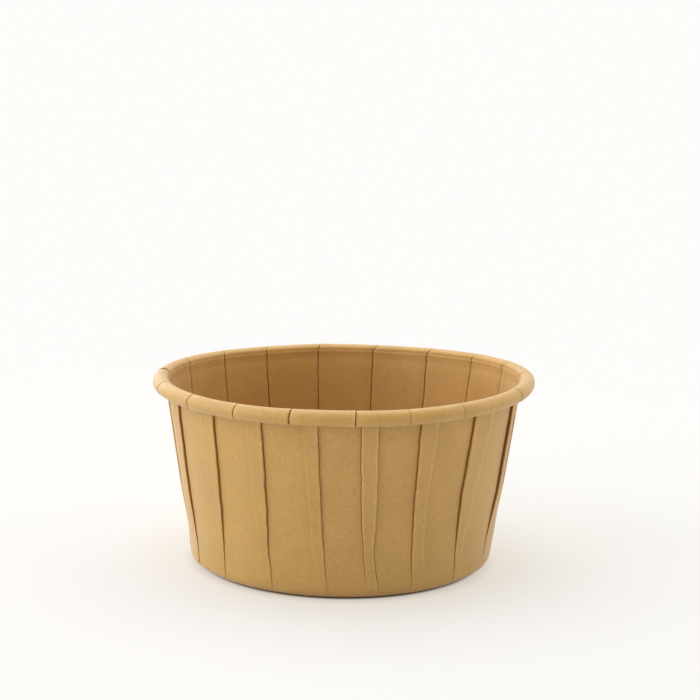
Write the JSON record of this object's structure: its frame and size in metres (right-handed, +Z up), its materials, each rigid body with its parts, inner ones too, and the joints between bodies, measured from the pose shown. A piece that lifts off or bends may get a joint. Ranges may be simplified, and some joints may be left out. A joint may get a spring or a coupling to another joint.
{
  "type": "cupcake liner",
  "caption": "Free-standing paper baking cup with a pleated, tapered wall, a flat round base and an outward rolled rim.",
  "frame": {"origin": "centre of the flat base, on the plane it stands on", "axes": "+Z up along the cup's axis, out of the mouth; -Y towards the front of the picture's view, +X to its right"},
  "size_m": [0.065, 0.065, 0.0325],
  "materials": {
    "kraft_paper": "matte natural brown kraft paper with fine fibre flecks"
  },
  "bodies": {
    "root": {"liner": "kraft_paper"}
  },
  "joints": []
}
